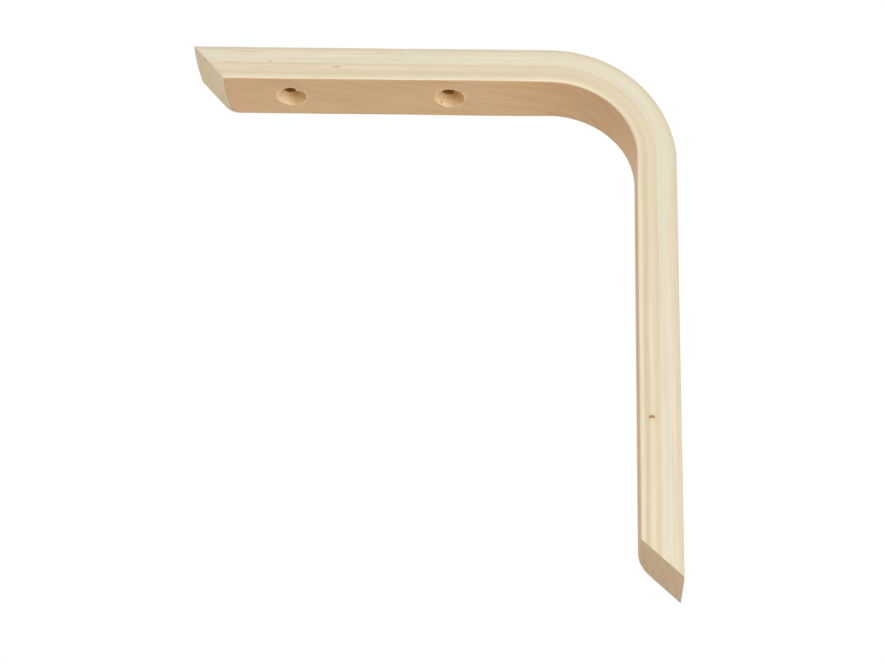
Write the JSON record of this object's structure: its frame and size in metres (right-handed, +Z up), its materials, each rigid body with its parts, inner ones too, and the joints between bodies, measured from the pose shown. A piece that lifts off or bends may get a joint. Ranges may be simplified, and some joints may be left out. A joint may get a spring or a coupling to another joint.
{
  "type": "bentwood shelf bracket",
  "caption": "L-shaped shelf bracket bent from glued birch veneers, with bevelled ends and countersunk screw holes in both arms.",
  "frame": {"origin": "on the flat wall face, on the bracket's centre plane, midway between the two wall screw holes", "axes": "+Y out of the wall face into the wall; +Z up, out of the shelf face; X across the width of the strip; the arm reaches out along -Y"},
  "size_m": [0.026, 0.2, 0.24],
  "materials": {
    "birch_veneer": "fine-sanded bare birch, matt, pale cream veneer edges and warmer veneer faces"
  },
  "bodies": {
    "root": {"bracket": "birch_veneer"}
  },
  "joints": []
}
